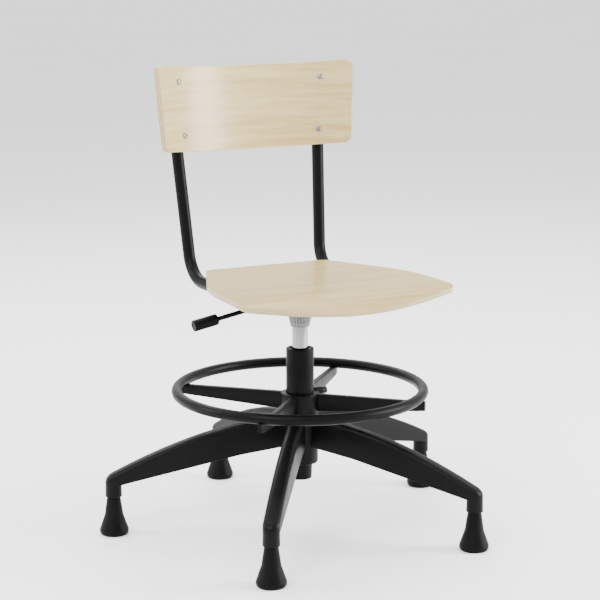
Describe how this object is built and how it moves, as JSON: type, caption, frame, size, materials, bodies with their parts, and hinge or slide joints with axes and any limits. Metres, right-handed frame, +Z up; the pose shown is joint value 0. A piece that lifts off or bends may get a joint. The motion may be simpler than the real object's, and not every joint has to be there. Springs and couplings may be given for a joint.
{
  "type": "drafting chair",
  "caption": "Tall drafting chair with a bent plywood seat and back, gas lift with side lever, sliding foot ring and a star base on bell glides.",
  "frame": {"origin": "on the floor, at the middle of the chair's footprint; the column's swivel axis stands at x = 0, y = -0.0322", "axes": "+Z up, -Y towards the front of the seat, +X to the sitter's left"},
  "size_m": [0.6926, 0.6612, 0.8236],
  "materials": {
    "birch": "pale veneer, satin lacquer",
    "nylon": "fine moulded texture",
    "glide": "matt moulded",
    "powder_coat": "satin powder coat",
    "plastic": "matt",
    "chrome": "polished",
    "brushed_metal": "fluted, brushed",
    "zinc_steel": "bright zinc plated",
    "black_screw": "black oxide"
  },
  "bodies": {
    "base": {"base_star": "nylon", "foot_1": "glide", "foot_2": "glide", "foot_3": "glide", "foot_4": "glide", "foot_5": "glide", "foot_stem_1": "zinc_steel", "foot_stem_2": "zinc_steel", "foot_stem_3": "zinc_steel", "foot_stem_4": "zinc_steel", "foot_stem_5": "zinc_steel", "column_tube": "powder_coat", "guide_bush": "plastic", "column_floor": "zinc_steel", "bearing_race_lower": "zinc_steel"},
    "ring_carriage": {"foot_ring": "powder_coat", "ring_spider": "nylon", "ring_screw_1": "zinc_steel", "ring_screw_2": "zinc_steel", "ring_screw_3": "zinc_steel", "ring_screw_4": "zinc_steel", "clamp_screw": "black_screw"},
    "piston": {"piston_rod": "zinc_steel", "piston_head": "plastic", "bearing_cage": "plastic", "bearing_race_upper": "zinc_steel", "retaining_clip": "zinc_steel"},
    "seat_unit": {"gas_cylinder": "chrome", "cylinder_gland": "plastic", "fluted_collar": "brushed_metal", "mechanism_housing": "powder_coat", "lever_pivot_pin": "zinc_steel", "cross_bar_front": "powder_coat", "cross_bar_rear": "powder_coat", "seat_screw_front_1": "zinc_steel", "seat_screw_front_2": "zinc_steel", "seat_screw_rear_1": "zinc_steel", "seat_screw_rear_2": "zinc_steel", "seat": "birch", "backrest": "birch", "back_tube_left": "powder_coat", "back_tube_right": "powder_coat", "back_tube_left_plug": "plastic", "back_tube_right_plug": "plastic", "back_bolt_1": "zinc_steel", "back_bolt_2": "zinc_steel", "back_bolt_3": "zinc_steel", "back_bolt_4": "zinc_steel", "back_nut_1": "zinc_steel", "back_nut_2": "zinc_steel", "back_nut_3": "zinc_steel", "back_nut_4": "zinc_steel", "back_spacer_1": "plastic", "back_spacer_2": "plastic", "back_spacer_3": "plastic", "back_spacer_4": "plastic"},
    "height_lever": {"lever_block": "powder_coat", "lever_rod": "powder_coat", "lever_grip": "plastic"},
    "valve": {"valve_button": "zinc_steel"}
  },
  "joints": [
    {"name": "foot_ring_slide", "type": "slide", "parent": "base", "child": "ring_carriage", "axis": [0, 0, 1], "range_m": [0, 0.07]},
    {"name": "swivel_turn", "type": "hinge", "parent": "base", "child": "piston", "pos_m": [0, -0.03216, 0.1], "axis": [0, 0, 1], "continuous": true},
    {"name": "seat_height", "type": "slide", "parent": "piston", "child": "seat_unit", "axis": [0, 0, 1], "range_m": [-0.034, 0.084]},
    {"name": "lever_lift", "type": "hinge", "parent": "seat_unit", "child": "height_lever", "pos_m": [-0.02804, -0.03216, 0.4189], "axis": [0, 1, 0], "range_deg": [0, 7], "stiffness_Nm_per_rad": 1},
    {"name": "valve_press", "type": "slide", "parent": "seat_unit", "child": "valve", "axis": [0, 0, -1], "range_m": [0, 0.0036], "stiffness_N_per_m": 200}
  ],
  "couplings": [
    {"joint": "valve_press", "follows": "lever_lift", "m_per_rad": 0.0285}
  ]
}
